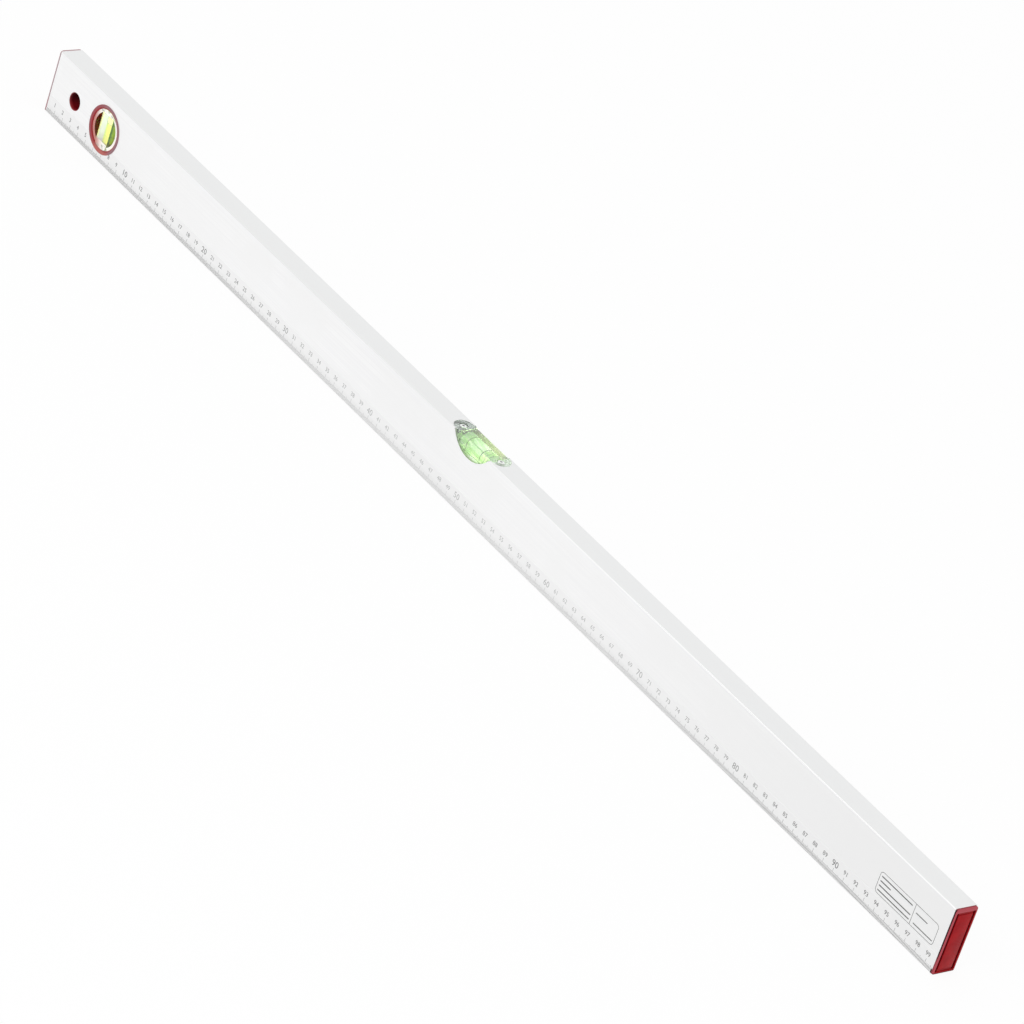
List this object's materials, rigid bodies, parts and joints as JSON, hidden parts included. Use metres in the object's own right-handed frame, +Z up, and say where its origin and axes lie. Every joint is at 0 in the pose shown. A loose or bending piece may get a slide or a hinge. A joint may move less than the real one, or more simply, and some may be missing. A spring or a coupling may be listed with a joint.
{
  "type": "box section spirit level",
  "caption": "Long box section spirit level with a ruler edge, a top-reading level vial, a round plumb vial, moulded end caps and a hanging hole.",
  "frame": {"origin": "middle of the measuring edge on which the level rests", "axes": "+X along the level towards the end without the hanging hole, +Z up towards the edge that holds the level vial, the ruler faces -Y"},
  "size_m": [1, 0.0186, 0.0475],
  "materials": {
    "anodised_aluminium": "satin anodised",
    "red_plastic": "moulded, semi-gloss",
    "clear_acrylic": "polished clear",
    "green_liquid": "clear liquid",
    "bubble": "air",
    "dark_plastic": "matt",
    "bright_steel": "bright zinc plate"
  },
  "bodies": {
    "level": {"profile": "anodised_aluminium", "end_cap_left": "red_plastic", "end_cap_right": "red_plastic", "hang_bush_front": "red_plastic", "hang_bush_rear": "red_plastic", "top_vial_block": "clear_acrylic", "top_vial_liquid": "green_liquid", "top_vial_plug": "clear_acrylic", "top_mark_ring_left": "dark_plastic", "top_mark_ring_right": "dark_plastic", "vial_screws": "bright_steel", "clamp_plate_left": "bright_steel", "clamp_plate_right": "bright_steel", "plumb_bezel_front": "red_plastic", "plumb_bezel_rear": "red_plastic", "plumb_vial_block": "clear_acrylic", "plumb_vial_liquid": "green_liquid", "plumb_vial_plug": "clear_acrylic", "plumb_mark_ring_lower": "dark_plastic", "plumb_mark_ring_upper": "dark_plastic"},
    "level_bubble": {"top_vial_bubble": "bubble"},
    "plumb_bubble": {"plumb_vial_bubble": "bubble"}
  },
  "joints": [
    {"name": "level_bubble_slide", "type": "slide", "parent": "level", "child": "level_bubble", "axis": [1, 0, 0], "range_m": [-0.0067, 0.0067], "stiffness_N_per_m": 1, "deforming": ["top_vial_liquid"]},
    {"name": "plumb_bubble_slide", "type": "slide", "parent": "level", "child": "plumb_bubble", "axis": [0, 0, 1], "range_m": [-0.0134, 0], "stiffness_N_per_m": 1, "springref_m": 0.01, "deforming": ["plumb_vial_liquid"]}
  ]
}
